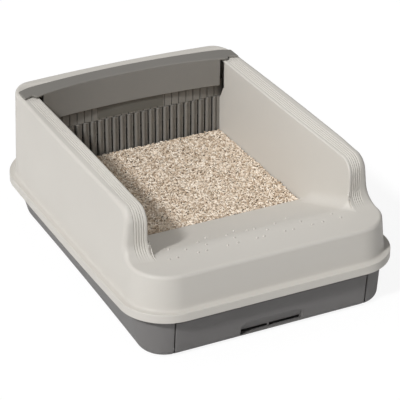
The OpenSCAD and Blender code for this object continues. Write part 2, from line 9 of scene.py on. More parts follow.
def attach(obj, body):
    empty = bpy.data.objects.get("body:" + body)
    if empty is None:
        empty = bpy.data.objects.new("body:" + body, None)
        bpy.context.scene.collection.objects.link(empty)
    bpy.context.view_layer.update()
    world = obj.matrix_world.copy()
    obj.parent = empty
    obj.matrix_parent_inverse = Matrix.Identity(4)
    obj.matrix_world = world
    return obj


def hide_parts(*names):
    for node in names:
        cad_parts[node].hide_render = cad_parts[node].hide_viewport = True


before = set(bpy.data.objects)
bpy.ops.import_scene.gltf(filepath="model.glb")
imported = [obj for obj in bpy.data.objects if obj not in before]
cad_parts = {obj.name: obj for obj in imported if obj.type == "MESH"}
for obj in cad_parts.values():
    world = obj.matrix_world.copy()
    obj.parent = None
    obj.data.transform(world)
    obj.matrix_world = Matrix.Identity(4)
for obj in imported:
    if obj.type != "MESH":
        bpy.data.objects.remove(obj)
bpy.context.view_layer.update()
MM = 0.001

# ---- sizes, in millimetres

REAR_BOW = 9.4  # how far the rear side bulges in its middle
SHELL_T = 2.5
# An outline is [half width, front y, rear y, front corner radius, rear corner radius, bulge of the sides,
# taper towards the rear].
SKIRT = [207.0, -277.5, 268.1, 68.0, 84.0, 3.2, 0.0]
# Heights of the skirt's lower edge, the top of its band, the walls' foot, the rim and the deck.
SKIRT_Z, BAND_Z, FOOT_Z, RIM_Z, DECK_Z = 65.0, 78.0, 86.0, 200.6, 129.6
LEDGE_W = 10.3
WALL_FOOT = [196.7, -267.2, 257.8, 57.7, 73.7, 3.2, 0.0]
WALL_TOP = [183.4, -260.3, 250.6, 47.05, 30.0, 3.2, 1.3]
PIT_HW, PIT_FLARE = 155.0, 2.0
PIT_FLARE_Y, PIT_FLARE_LENGTH = 20.0, 190.0
# The hollow ledge: shares of its width and of its rise.
LEDGE_SHAPE = [(0.0, 0.0), (0.3, 0.02), (0.5, 0.045), (0.64, 0.085), (0.75, 0.14), (0.84, 0.23),
               (0.91, 0.37), (0.96, 0.58), (1.0, 1.0)]
TOE_Y, TOE_Z, RAMP_TOP_Y = -58.0, 75.5, -196.0
LITTER_Z = 76.0
GRILLE_Y = 212.0


# ---- mesh helpers

class Surface:
    """Collects faces in millimetres and welds them into one mesh."""

    def __init__(self):
        self.points, self.faces = [], []

    def face(self, points):
        start = len(self.points)
        self.points += [tuple(p) for p in points]
        self.faces.append(tuple(range(start, len(self.points))))

    def grid(self, rows):
        """rows is a list of rows of points, all of one length."""
        start, n = len(self.points), len(rows[0])
        for row in rows:
            self.points += [tuple(p) for p in row]
        for i in range(len(rows) - 1):
            for j in range(n - 1):
                a = start + i * n + j
                self.faces.append((a, a + 1, a + n + 1, a + n))

    def mirror(self):
        n = len(self.points)
        self.points += [(-x, y, z) for x, y, z in self.points]
        self.faces += [tuple(n + i for i in reversed(f)) for f in self.faces]

    def build(self, name, outward=None, weld=0.004):
        """outward is (point, direction): the face nearest that point turns that way, the rest with it."""
        mesh = bpy.data.meshes.new(name)
        mesh.from_pydata([(x * MM, y * MM, z * MM) for x, y, z in self.points], [], self.faces)
        bm = bmesh.new()
        bm.from_mesh(mesh)
        bmesh.ops.remove_doubles(bm, verts=bm.verts, dist=weld * MM)
        bmesh.ops.dissolve_degenerate(bm, edges=bm.edges, dist=1e-7)
        bmesh.ops.recalc_face_normals(bm, faces=bm.faces)
        if outward:
            point, direction = Vector(outward[0]) * MM, Vector(outward[1])
            nearest = min(bm.faces, key=lambda f: (f.calc_center_median() - point).length)
            if nearest.normal.dot(direction) < 0:
                bmesh.ops.reverse_faces(bm, faces=bm.faces)
        bm.to_mesh(mesh)
        bm.free()
        return link(name, mesh)


def link(name, mesh):
    obj = bpy.data.objects.new(name, mesh)
    bpy.context.scene.collection.objects.link(obj)
    return obj


def finish_piece(obj, body, material, replaces=(), sharp=40, weighted=True):
    """Applies the modifiers, shades the mesh and ties it to its body."""
    dg = bpy.context.evaluated_depsgraph_get()
    mesh = bpy.data.meshes.new_from_object(obj.evaluated_get(dg), depsgraph=dg)
    mesh.name = obj.name
    obj.modifiers.clear()
    obj.data = mesh
    for p in mesh.polygons:
        p.use_smooth = True
    mesh.set_sharp_from_angle(angle=radians(sharp))
    if weighted:
        m = obj.modifiers.new("normals", "WEIGHTED_NORMAL")
        m.keep_sharp = True
        m.weight = 50
    mesh.materials.clear()
    mesh.materials.append(material)
    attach(obj, body)
    for node in replaces:
        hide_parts(node)
    return obj


def lerp(a, b, t):
    return [p + (q - p) * t for p, q in zip(a, b)]


def unit(v):
    return v / max(np.linalg.norm(v), 1e-12)


def smooth(t):
    t = min(max(t, 0.0), 1.0)
    return t * t * (3 - 2 * t)


# ---- materials

# Scale and detail of the mottling, detail and height in metres of the grain, spread of the gloss.
CLOUD_SCALE, CLOUD_DETAIL, GRAIN_DETAIL, GRAIN_HEIGHT, GLOSS_SPREAD = 9.0, 4.0, 3.0, 0.0003, 0.05
SPECULAR = 0.35
WHITE = (1, 1, 1, 1)


def add_node(tree, kind, **values):
    """A new shader node with some of its inputs set; an underscore in an input's name stands for a space."""
    node = tree.nodes.new("ShaderNode" + kind)
    for name, value in values.items():
        node.inputs[name.replace("_", " ")].default_value = value
    return node


def wire(tree, *wires):
    """Links sockets; each wire is (from node, output, to node, input)."""
    for source, output, target, socket in wires:
        tree.links.new(source.outputs[output], target.inputs[socket])


def material(name, base, rough, bump=0.05, bump_scale=900.0, mottling=0.03):
    """A matte surface with fine grain, faint mottling and uneven gloss."""
    m = bpy.data.materials.new(name)
    m.use_nodes = True
    tree = m.node_tree
    bsdf = tree.nodes["Principled BSDF"]
    bsdf.inputs["Specular IOR Level"].default_value = SPECULAR
    coords, ramp = add_node(tree, "TexCoord"), add_node(tree, "ValToRGB")
    grain = add_node(tree, "TexNoise", Scale=bump_scale, Detail=GRAIN_DETAIL)
    cloud = add_node(tree, "TexNoise", Scale=CLOUD_SCALE, Detail=CLOUD_DETAIL)
    gloss = add_node(tree, "MapRange", To_Min=rough - GLOSS_SPREAD, To_Max=rough + GLOSS_SPREAD)
    relief = add_node(tree, "Bump", Strength=bump, Distance=GRAIN_HEIGHT)
    dark, pale = ramp.color_ramp.elements
    dark.position, pale.position = 0.3, 0.7
    dark.color = [c * (1 - mottling) for c in base] + [1]
    pale.color = [min(c * (1 + mottling), 1) for c in base] + [1]
    wire(tree, (coords, "Object", grain, "Vector"), (coords, "Object", cloud, "Vector"),
         (cloud, "Fac", ramp, "Fac"), (ramp, "Color", bsdf, "Base Color"),
         (grain, "Fac", gloss, "Value"), (gloss, "Result", bsdf, "Roughness"),
         (grain, "Fac", relief, "Height"), (relief, "Normal", bsdf, "Normal"))
    return m


def srgb(r, g, b):
    """Linear colour from 0-255 sRGB."""
    return [((c / 255 + 0.055) / 1.055) ** 2.4 if c > 10.3 else c / 255 / 12.92 for c in (r, g, b)]


CREAM = material("cream_plastic", srgb(204, 200, 193), 0.5, mottling=0.012)
GREY = material("grey_plastic", srgb(129, 126, 121), 0.48)
# A darker grey that is painted shade: on the grille's pad under the overhanging apron, and on the parts
# inside the box, so the drawer front's slots look dark.
GREY_PAINTED_SHADE = material("grey_plastic_painted_shade", srgb(104, 102, 96), 0.5)
GREY_BASE = material("grey_plastic_base", srgb(115, 113, 112), 0.48)
RUBBER = material("foot_rubber", srgb(48, 48, 48), 0.75, bump=0.2)
PAD_FABRIC = material("pad_fabric", srgb(226, 232, 238), 0.85, bump=0.5, bump_scale=500.0)
# Dark brown ground under the pellets: painted shade that shows in the gaps between them.
LITTER_GAP_SHADE = material("litter_gaps_painted_shade", srgb(84, 70, 56), 0.9, bump=0.6, bump_scale=400.0, mottling=0.15)


def pellet_material():
    """Each pellet has its own shade of beige."""
    m = material("litter_pellets", srgb(214, 197, 178), 0.85, bump=0.5, bump_scale=1600.0)
    tree = m.node_tree
    shade, geometry = add_node(tree, "ValToRGB"), add_node(tree, "NewGeometry")
    stops = shade.color_ramp.elements
    stops[0].color = (*srgb(178, 156, 132), 1)
    stops[1].color = (*srgb(246, 236, 222), 1)
    stops.new(0.45).color = (*srgb(217, 200, 180), 1)
    wire(tree, (geometry, "Random Per Island", shade, "Fac"),
         (shade, "Color", tree.nodes["Principled BSDF"], "Base Color"))
    return m


PELLETS = pellet_material()


# ---- outline of the shell

def outline(level, a):
    """A point on the right half of a bowed rounded rectangle.

    a is 0 at the middle of the front, 1 to 2 round the front corner, 3 to 4 round the rear corner, and 5 at
    the middle of the rear.
    """
    hw, yf, yb, rf, rb, bow, taper = level
    if a <= 1:
        x, y = a * (hw - rf), yf
    elif a <= 2:
        t = radians(90 * (a - 2))
        x, y = hw - rf + rf * cos(t), yf + rf + rf * sin(t)
    elif a <= 3:
        x, y = hw, yf + rf + (a - 2) * (yb - rb - yf - rf)
    elif a <= 4:
        t = radians(90 * (a - 3))
        x, y = hw - rb + rb * cos(t), yb - rb + rb * sin(t)
    else:
        x, y = (5 - a) * (hw - rb), yb
    u, w = x / hw, 2 * (y - (yf + yb) / 2) / (yb - yf)
    return x + u * (bow * (1 - w * w) - taper * w), y + (REAR_BOW * w * (1 - u * u) if w > 0 else 0)


def inset(level, d):
    hw, yf, yb, rf, rb, *rest = level
    return [hw - d, yf + d, yb - d, max(rf - d, 1), max(rb - d, 1), *rest]


def wall_level(z):
    return lerp(WALL_FOOT, WALL_TOP, (z - FOOT_Z) / (RIM_Z - FOOT_Z))


def pit_hw(y):
    """The inner walls stand a little further apart in front."""
    return PIT_HW + PIT_FLARE * smooth((PIT_FLARE_Y - y) / PIT_FLARE_LENGTH)


def wall(a, z):
    return np.array([*outline(wall_level(z), a), z])


def param_at(level, y):
    """The outline's parameter where the side or front corner has this y."""
    hw, yf, yb, rf, rb = level[:5]
    if y >= yf + rf:
        return 2 + (y - yf - rf) / (yb - rb - yf - rf)
    return 2 + degrees(asin((y - yf - rf) / rf)) / 90


def conic(p0, corner, p2, cos_half, n):
    """Points of the circular arc that rounds a corner, from p0 to p2."""
    out = []
    for i in range(n + 1):
        t = i / n
        b0, b1, b2 = (1 - t) ** 2, 2 * t * (1 - t) * cos_half, t * t
        out.append((b0 * p0 + b1 * corner + b2 * p2) / (b0 + b1 + b2))
    return out


def arc(x, y, r, start, end, steps):
    """Points round (x, y) from one angle to another, in degrees."""
    turns = [radians(start + (end - start) * i / steps) for i in range(steps + 1)]
    return [(x + r * cos(t), y + r * sin(t)) for t in turns]


def cos_half_turn(n1, n2, least=1e-4):
    """Cosine of half the angle between two unit vectors."""
    return sqrt(max((1 + float(np.dot(n1, n2))) / 2, least))


def facing(v, towards):
    """v or its opposite, whichever points towards the given direction."""
    return v if np.dot(v, towards) > 0 else -v


def across(n1, t, n2):
    """Direction on the face with normal n1, square to the edge t, that leads out towards n2."""
    return facing(unit(np.cross(n1, t)), n2)


# ---- upper shell

# The curve down the front of a side wall: radii at its top and foot, and its y on the outer and inner side.
S_TOP_R, S_FOOT_R = 23.0, 24.0
S_OUTER_Y, S_INNER_Y = -187.0, -192.0
S_ARC_STEPS, S_MID_STEPS, S_RIM_STEPS = 14, 6, 4
RIM_START_Y = -142.0
REAR_RISE = 2.3          # the rim stands this much higher round the rear
RIM_FALL = 2.6           # the rim's inner edge lies this much lower than its outer edge
RIM_FALL_FROM, RIM_FALL_OVER = 25.0, 40.0
RAMP_BLEND = 13.0        # half the length over which the deck bends into the ramp

# Distances of the fine grooves along the rim from its inner edge, their half width and depth.
GROOVES = [19.2, 15.6, 12.0, 8.6, 5.3]
GROOVE_W, GROOVE_DEPTH = 1.15, 0.95
# They fade in over this height above the deck, and out from this y over this length.
GROOVE_RISE, GROOVE_END_Y, GROOVE_END_LENGTH = 14.0, 188.0, 5.0
RIM_PLAIN, RIM_INNER_PLAIN = 22.0, 3.0  # beyond and within these distances the rim is plain

# The rim's inner edge at the rear, and the share of its columns before the turn.
REAR_INNER_Y, REAR_INNER_BOW, REAR_INNER_R, REAR_TURN = 236.0, 2.0, 4.0, 0.3
# Rounding of the outer edge, its growth down the front, and rounding of the inner edge.
OUTER_R, OUTER_R_FRONT, INNER_R, INNER_R_SHARE = 5.0, 2.5, 2.0, 0.35

# The skirt's lower lip and outer face: [inset, height], and the rounding at the top of its band.
SKIRT_FACE = [(2.2, SKIRT_Z), (0.9, SKIRT_Z), (0.25, SKIRT_Z + 0.25), (0.0, SKIRT_Z + 0.9),
              (0.0, BAND_Z - 5), (0.0, BAND_Z - 1.5)]
BAND_R = 1.3

# The pit's wall: where it steps back at the rear, and its lower edge.
WALL_END_HIGH, WALL_END_LOW = 195.0, 209.7
STEP_HIGH_Z, STEP_LOW_Z, WALL_LOW_Z = 152.6, 130.4, 59.6
UPPER_CELLS, LOWER_CELLS, END_STEPS = 6, 10, 12
# The fillet between wall and ramp: radius, largest share of the wall's height, and its fading.
FILLET_R, FILLET_SHARE, FILLET_COLUMNS, TOE_SHARE, TOE_FADE = 17.0, 0.85, 9, 0.12, 32.0
# The ramp's toe turns down into the tray: [distance behind the toe, height over it].
TOE_TURN = [(0.9, -0.4), (1.8, -1.3), (2.4, -2.6), (2.6, -4.0), (2.6, -15.4)]


def rim_fall(z):
    return RIM_FALL * smooth((z - DECK_Z - RIM_FALL_FROM) / RIM_FALL_OVER)


def s_curve(face_y):
    """(y, z) up the front of a side wall, from the deck to the rim and along it."""
    low, high, start = DECK_Z + S_FOOT_R, RIM_Z - S_TOP_R, face_y + S_TOP_R
    out = arc(face_y - S_FOOT_R, low, S_FOOT_R, -90, 0, S_ARC_STEPS)
    out += [(face_y, low + (high - low) * i / S_MID_STEPS) for i in range(1, S_MID_STEPS)]
    out += arc(start, high, S_TOP_R, 180, 90, S_ARC_STEPS)
    out += [(start + (RIM_START_Y - start) * i / S_RIM_STEPS, RIM_Z) for i in range(1, S_RIM_STEPS + 1)]
    return out


def deck_profile(y):
    """Height of the deck and ramp at y."""
    slope = (DECK_Z - TOE_Z) / (TOE_Y - RAMP_TOP_Y)
    if y < RAMP_TOP_Y - RAMP_BLEND:
        return DECK_Z
    if y < RAMP_TOP_Y + RAMP_BLEND:
        return DECK_Z - slope * (y - RAMP_TOP_Y + RAMP_BLEND) ** 2 / (4 * RAMP_BLEND)
    return DECK_Z - slope * (y - RAMP_TOP_Y)


def rim_cross_section():
    """(distance from the inner edge, share of the grooves' depth) across the rim; None is its outer edge."""
    out = [(None, 0.0), (RIM_PLAIN, 0.0)]
    for g in GROOVES:
        out += [(g + GROOVE_W, 0.0), (g + GROOVE_W * 0.5, 0.8), (g, 1.0), (g - GROOVE_W * 0.5, 0.8),
                (g - GROOVE_W, 0.0)]
    return out + [(RIM_INNER_PLAIN, 0.0), (0.0, 0.0)]


def shell_columns():
    """Columns round the right half: [outline parameter at the top, height there, parameter at the foot].

    Also the numbers of the columns where the deck ends, the rim starts and the side ends.
    """
    front_edge = s_curve(S_OUTER_Y)
    deck_end = param_at(wall_level(DECK_Z), front_edge[0][0])
    cols = [[a, DECK_Z, a] for a in np.linspace(0, 1, 9)[:-1]]
    cols += [[a, DECK_Z, a] for a in np.linspace(1, deck_end, 22)]
    k_end = len(cols) - 1
    rim_start = param_at(wall_level(RIM_Z), RIM_START_Y)
    upright = param_at(wall_level(FOOT_Z), S_OUTER_Y + 8.5)
    for j, (y, z) in enumerate(front_edge[1:], 1):
        # the columns stand behind the rounded edge, so that they never cross
        foot = float(np.interp(j, [0, S_ARC_STEPS, len(front_edge) - 1], [deck_end, upright, rim_start]))
        cols.append([param_at(wall_level(z), y), z, foot])
    k_rim = len(cols) - 1
    top = wall_level(RIM_Z)
    side_ys = [*np.linspace(RIM_START_Y, TOE_Y, 12)[1:], *np.linspace(TOE_Y, 170, 24)[1:],
               182.0, WALL_END_HIGH, 204.0, 214.0]
    side = [param_at(top, y) for y in side_ys if y < top[2] - top[4]]
    cols += [[a, RIM_Z, a] for a in side]
    k_side = len(cols) - 1
    corner = np.linspace(3, 4, 22)[(1 if side[-1] > 2.999 else 0):]
    cols += [[a, RIM_Z + REAR_RISE * smooth((a - 3) / 0.7), a] for a in corner]
    cols += [[a, RIM_Z + REAR_RISE, a] for a in np.linspace(4, 5, 14)[1:]]
    return cols, k_end, k_rim, k_side


def rim_inner_edge(edge, k_end, k_rim, k_side):
    """The rim's inner edge, a point for each column from the deck's end on."""
    out = {}
    for k, (y, z) in enumerate(s_curve(S_INNER_Y), k_end):
        out[k] = np.array([pit_hw(y), y, z - rim_fall(z)])
    for k in range(k_rim + 1, k_side + 1):
        y = edge[k][1]
        out[k] = np.array([pit_hw(y), y, RIM_Z - RIM_FALL])
    last_y = edge[k_side][1]
    rest = range(k_side + 1, len(edge))
    for i, k in enumerate(rest, 1):
        t = i / len(rest)
        if t < REAR_TURN:
            y = last_y + (REAR_INNER_Y - REAR_INNER_R - last_y) * t / REAR_TURN
            out[k] = np.array([PIT_HW, y, RIM_Z - RIM_FALL])
        else:
            v = (t - REAR_TURN) / (1 - REAR_TURN)
            x = (PIT_HW - REAR_INNER_R) * (1 - v)
            y = REAR_INNER_Y + REAR_INNER_BOW * (1 - (x / PIT_HW) ** 2)
            out[k] = np.array([x, y, RIM_Z - RIM_FALL * (1 - smooth(v * 3))])
    return out


def direction(points, k, first, last):
    """Direction of a line of points at point k; in the middle of the box it runs straight across."""
    if k == 0:
        return np.array([1.0, 0, 0])
    if k == last:
        return np.array([-1.0, 0, 0])
    return unit(points[k + 1] - points[max(k - 1, first)])


def away(point):
    """Roughly outward from the box's middle."""
    return np.array([point[0], point[1] * 0.6, 0])


def wall_slopes(a, z):
    """How a point on the outer wall moves with a and with z."""
    da, dz = 1e-3, 0.05
    before, after = max(a - da, 0), min(a + da, 5)
    along_a = (wall(after, z) - wall(before, z)) / (after - before)
    return along_a, (wall(a, z + dz) - wall(a, z - dz)) / (2 * dz)


def skirt_point(d, a, z):
    return np.array([*outline(inset(SKIRT, d), a), z])


def lower_column(a_foot, a_top, z_top):
    """From the skirt's lip up over the ledge, and up the wall to where its top edge starts to round."""
    rows = [skirt_point(d, a_foot, z) for d, z in SKIRT_FACE]
    corner, after = skirt_point(0, a_foot, BAND_Z), skirt_point(BAND_R, a_foot, BAND_Z + 0.1)
    rows += conic(rows[-1], corner, after, 0.9, 5)[1:]
    rows += [skirt_point(LEDGE_W * u, a_foot, BAND_Z + (FOOT_Z - BAND_Z) * v) for u, v in LEDGE_SHAPE[1:]]
    z_low = FOOT_Z + 2.0
    rows.append(wall(a_foot, z_low))
    for i in range(1, 13):
        q = i / 12
        rows.append(wall(a_foot + (a_top - a_foot) * q, z_low + (z_top - z_low) * q))
    return rows


def rim_strip(c, ci, ti, start, n_top, drop, groove_share):
    """A row across the rim from start, and one round its inner edge ci; drop is the wall's height there."""
    n_in = unit(np.cross(ti, [0, 0, 1.0])) if abs(ti[0]) > 0.05 else np.array([-1.0, 0, 0])
    n_in = facing(n_in, -away(ci))
    n_rim = facing(unit(np.cross(ti, unit(c - ci))), [0, -1, 1])
    r = min(INNER_R, INNER_R_SHARE * drop)
    end, below = ci - r * across(n_rim, ti, n_in), ci - r * across(n_in, ti, n_rim)
    span = np.linalg.norm(start - end)
    row = []
    for d, depth in rim_cross_section():
        share = 1.0 if d is None else min(max(d - r, 0) / span, 0.97)
        row.append(end + (start - end) * share - n_top * depth * GROOVE_DEPTH * groove_share)
    return row, conic(end, ci, below, cos_half_turn(n_rim, n_in), 4)


def pit_wall_and_floor(inner_edge, tops, k_end, k_rim, k_side):
    """Rows down the pit's wall, and rows across the deck and ramp to its toe."""
    k_last = max(k for k in inner_edge if k <= k_side and inner_edge[k][1] <= WALL_END_HIGH + 0.01)
    first_y = inner_edge[k_end][1]
    share = (RIM_Z - 2 - STEP_HIGH_Z) / (RIM_Z - 2 - WALL_LOW_Z)
    fractions = [share * i / UPPER_CELLS for i in range(UPPER_CELLS + 1)]
    fractions += [share + (1 - share) * i / LOWER_CELLS for i in range(1, LOWER_CELLS + 1)]
    wall_rows, floor_rows = [], []
    for k in range(k_end, k_last + 1):
        top = tops[k - k_end]
        # the wall's bottom edge follows the ramp, then runs down into the tray
        y = inner_edge[k][1]
        if k <= k_rim:
            y = first_y + (RIM_START_Y - first_y) * (k - k_end) / (k_rim - k_end)
        hw, floor_z = pit_hw(y), deck_profile(y)
        on_ramp = y <= TOE_Y + 0.01
        near_toe = TOE_SHARE + (1 - TOE_SHARE) * smooth((TOE_Y - y) / TOE_FADE)
        rise = min(FILLET_R, FILLET_SHARE * (top[2] - floor_z)) * near_toe if k > k_end else 0.0
        bottom = np.array([hw, y, floor_z + rise if on_ramp else WALL_LOW_Z])
        wall_rows.append([top + (bottom - top) * f for f in fractions])
        if on_ramp:
            inner_x = hw - FILLET_R * smooth((k - k_end) / FILLET_COLUMNS) * near_toe
            corner, end = np.array([hw, y, floor_z]), np.array([inner_x, y, floor_z])
            floor_rows.append(conic(bottom, corner, end, sqrt(0.5), 6)
                              + [np.array([inner_x * (1 - i / 14), y, floor_z]) for i in range(1, 15)])
    toe = floor_rows[-1]
    floor_rows += [[np.array([p[0], TOE_Y + dy, TOE_Z + dz]) for p in toe] for dy, dz in TOE_TURN]
    return wall_rows, floor_rows


def wall_end(last_row):
    """Rear end of the pit's wall: it steps back below the cap."""
    rows = [last_row]
    low = last_row[-1][2]
    for i in range(1, END_STEPS + 1):
        t = i / END_STEPS
        y = WALL_END_HIGH + (WALL_END_LOW - WALL_END_HIGH) * t
        high = STEP_HIGH_Z - (STEP_HIGH_Z - STEP_LOW_Z) * smooth(t * 0.92 + 0.04)
        rows.append([np.array([PIT_HW, y, high + (low - high) * f / LOWER_CELLS])
                     for f in range(LOWER_CELLS + 1)])
    return rows


def upper_shell():
    cols, k_end, k_rim, k_side = shell_columns()
    last = len(cols) - 1
    edge = [wall(a, z) for a, z, _ in cols]
    inner_edge = rim_inner_edge(edge, k_end, k_rim, k_side)
    low_rows, outer_fillet, ribbon_rows, inner_fillet, deck_loop = [], [], [], [], []
    for k, (a, z, a_foot) in enumerate(cols):
        c = edge[k]
        t = direction(edge, k, 0, last)
        along_a, along_z = wall_slopes(a, z)
        n_wall = facing(unit(np.cross(along_a, along_z)), away(c))
        n_top = np.array([0, 0, 1.0])
        if k >= k_end:
            n_top = facing(unit(np.cross(t, unit(inner_edge[k] - c))), [0, -1, 1])
        d_wall, d_top = across(n_wall, t, n_top), across(n_top, t, n_wall)
        # the outer edge is rounder down the front of the side walls
        front_share = smooth((z - DECK_Z) / 12) * smooth((RIM_START_Y + 25 - c[1]) / 40)
        r = OUTER_R + OUTER_R_FRONT * front_share
        # the point where the rounding starts on the wall
        mixed = np.dot(along_a, along_z)
        m = np.array([[np.dot(along_a, along_a), mixed], [mixed, np.dot(along_z, along_z)]])
        alpha, beta = np.linalg.solve(m, np.array([np.dot(d_wall, along_a), np.dot(d_wall, along_z)]))
        a_w = a if k in (0, last) else min(max(a - r * alpha, 0.0), 5.0)
        z_w = z - r * beta
        on_top = c - r * d_top
        outer_fillet.append(conic(wall(a_w, z_w), c, on_top, cos_half_turn(n_wall, n_top), 6))
        low_rows.append(lower_column(a_foot, a_w, z_w))
        if k <= k_end:
            deck_loop.append(on_top)
        if k >= k_end:
            ci = inner_edge[k]
            drop = ci[2] - deck_profile(ci[1]) if k <= k_rim else inf
            groove_share = smooth((z - DECK_Z + 1) / GROOVE_RISE)
            groove_share *= 1 - smooth((c[1] - GROOVE_END_Y) / GROOVE_END_LENGTH)
            ribbon, fillet = rim_strip(c, ci, direction(inner_edge, k, k_end, last), on_top, n_top, drop,
                                       groove_share)
            ribbon_rows.append(ribbon)
            inner_fillet.append(fillet)

    tops = [row[-1] for row in inner_fillet]
    wall_rows, floor_rows = pit_wall_and_floor(inner_edge, tops, k_end, k_rim, k_side)
    s = Surface()
    for rows in (low_rows, outer_fillet, ribbon_rows, inner_fillet, wall_rows, floor_rows,
                 wall_end(wall_rows[-1][UPPER_CELLS:])):
        s.grid(rows)
    # flat deck: one face between the front rounding, the rim's first row and the floor's
    s.face([(p[0], p[1], DECK_Z) for p in deck_loop + ribbon_rows[0][1:] + floor_rows[0][1:]])
    s.mirror()
    obj = s.build("upper_shell_moulding", outward=((-170, 0, RIM_Z), (0, 0, 1)), weld=0.06)
    solid = obj.modifiers.new("thickness", "SOLIDIFY")
    solid.thickness, solid.offset, solid.use_quality_normals = SHELL_T * MM, -1, True
    finish_piece(obj, "shell", CREAM, ["upper_shell"], sharp=32)


# The raised dots on the deck: rows of x at each y.
DECK_DOTS = {-173: (-60.5, -16.4, 66.4), -188: (-124.8, -80.1, -35.6, -3.5, 7.8, 40.2),
             -203: (-105.8, -74.5, -31.3, 20.1, 73.1, 123.1),
             -218: (-137.8, -125.6, -93.9, -81.5, -48.9, -33.6, -3.4, 7.3, 39.9, 53.4, 83.8, 100.3, 129.2)}
# Radius and height at each ring of a dot.
DOT_SHAPE = [(1.7, -0.5), (1.6, 0.7), (1.25, 1.25), (0.7, 1.5)]


def deck_dots():
    s = Surface()
    turns = np.linspace(0, 2 * pi, 13)[:-1]
    for y, xs in DECK_DOTS.items():
        for x in xs:
            base = deck_profile(y)
            rings = [[(x + r * cos(t), y + r * sin(t), base + h) for t in turns]
                     for r, h in DOT_SHAPE]
            s.grid([ring + [ring[0]] for ring in rings])
            s.face(rings[0])
            s.face(rings[-1])
    obj = s.build("deck_dots", outward=((-60.5, -173, 135), (0, 0, 1)))
    finish_piece(obj, "shell", CREAM)


# ---- rear cap and its apron

CAP_Z, APRON_HW, APRON_Z, APRON_T = 203.4, 148.5, 157.0, 2.5
CAP_HW, CAP_TURN_X = 179.8, 160.4
CAP_FRONT_Y, CAP_BACK_Y = 213.3, 241.0
# The front edge's bow and the power of its curve, the apron's lean, the bows of its foot and the rear edge.
CAP_BOW, CAP_CURL, APRON_LEAN, APRON_BOW, CAP_REAR_BOW = 16.8, 2.5, 6.4, 9.6, 12.5
# Front and rear edge of the plate beyond the apron's ends, as (x, y).
PLATE_FRONT = [(APRON_HW, 196.5), (159.4, 193.3), (161.2, 193.9), (164.0, 199.6), (166.0, 200.2),
               (CAP_HW, 193.3)]
PLATE_REAR = [(APRON_HW, 230.3), (CAP_TURN_X, 228.5), (168.0, 225.8), (CAP_HW, 220.0)]
PLATE_XS = (176, 172, 169, 166, 165, 164, 163, 162, 161.2, 160.4, 159.4, 154, APRON_HW + 0.3)


def rounded_path(corners):
    """A closed path; corners is a list of (point, rounding, steps)."""
    out = []
    for i, (p, r, steps) in enumerate(corners):
        p = np.array(p, float)
        a, b = np.array(corners[i - 1][0], float), np.array(corners[(i + 1) % len(corners)][0], float)
        d1, d2 = unit(p - a), unit(b - p)
        out += conic(p - r * d1, p, p + r * d2, cos_half_turn(d1, d2, 0.01), steps)
    return out


def cap_section(x, plate, shrink=0.0):
    """The cap's cross-section at x: with the apron, or beyond its ends only the plate."""
    z0, z1 = RIM_Z, CAP_Z - shrink
    w = abs(x)
    if plate:
        front = float(np.interp(w, *zip(*PLATE_FRONT))) + shrink
        rear = float(np.interp(w, *zip(*PLATE_REAR))) - shrink
        # as many points as the section with the apron has
        corners = [((front, z1), 1.2, 5), ((front, z0 + 1.0), 0.1, 2), ((front, z0 + 0.6), 0.1, 3),
                   ((front + 0.2, z0), 0.1, 3), ((front + 0.9, z0), 0.1, 2), ((front + 1.8, z0), 0.1, 2)]
    else:
        front = CAP_FRONT_Y - CAP_BOW * abs(x / APRON_HW) ** CAP_CURL
        low = CAP_FRONT_Y - APRON_LEAN - APRON_BOW * (x / APRON_HW) ** 2
        mid, mid_z = (front + low) / 2, (z1 + APRON_Z) / 2
        rear = CAP_BACK_Y - CAP_REAR_BOW * (x / CAP_TURN_X) ** 2
        corners = [((front, z1), 1.8, 5), ((mid, mid_z), 0.4, 2), ((low, APRON_Z), 0.8, 3),
                   ((low + APRON_T, APRON_Z), 0.8, 3), ((mid + APRON_T, mid_z), 0.7, 2),
                   ((front + APRON_T, z0), 1.0, 2)]
    corners += [((rear, z0), 0.3, 1), ((rear, z1), 1.1, 3)]
    return [(x, y, z) for y, z in rounded_path(corners)]


def rear_cap():
    s = Surface()
    ends = [(CAP_HW, 0.9), (CAP_HW - 0.4, 0.3), (CAP_HW - 1.1, 0.0)]
    ends += [(x, 0.0) for x in PLATE_XS]
    rings = [cap_section(x, True, shrink) for x, shrink in ends]
    rings += [cap_section(x, False) for x in np.linspace(APRON_HW, -APRON_HW, 61)]
    rings += [cap_section(-x, True, shrink) for x, shrink in reversed(ends)]
    s.grid([r + [r[0]] for r in rings])
    s.face(rings[0])
    s.face(rings[-1][::-1])
    obj = s.build("rear_cap_moulding", outward=((0, 235, CAP_Z), (0, 0, 1)))
    finish_piece(obj, "cap", GREY, ["rear_cap"], sharp=35)


# ---- sheets with holes

def slab(s, front, back, keep=lambda i, j: True):
    """A sheet between two grids of points, walled round its border and round each cell that isn't kept."""
    m, n = len(front) - 1, len(front[0]) - 1
    held = [[keep(i, j) for j in range(n)] for i in range(m)]

    def at(i, j):
        return 0 <= i < m and 0 <= j < n and held[i][j]

    for i in range(m):
        for j in range(n):
            if not held[i][j]:
                continue
            s.face([front[i][j], front[i][j + 1], front[i + 1][j + 1], front[i + 1][j]])
            s.face([back[i][j], back[i + 1][j], back[i + 1][j + 1], back[i][j + 1]])
            for di, dj, (a, b) in ((-1, 0, ((i, j), (i, j + 1))), (1, 0, ((i + 1, j + 1), (i + 1, j))),
                                   (0, -1, ((i + 1, j), (i, j))), (0, 1, ((i, j + 1), (i + 1, j + 1)))):
                if not at(i + di, j + dj):
                    s.face([front[b[0]][b[1]], front[a[0]][a[1]], back[a[0]][a[1]], back[b[0]][b[1]]])


def lines(*groups, least=0.12):
    """Grid lines from several groups, sorted, without near repeats."""
    out = []
    for v in sorted(float(x) for g in groups for x in g):
        if not out or v - out[-1] > least:
            out.append(v)
    return out


# ---- rear grille

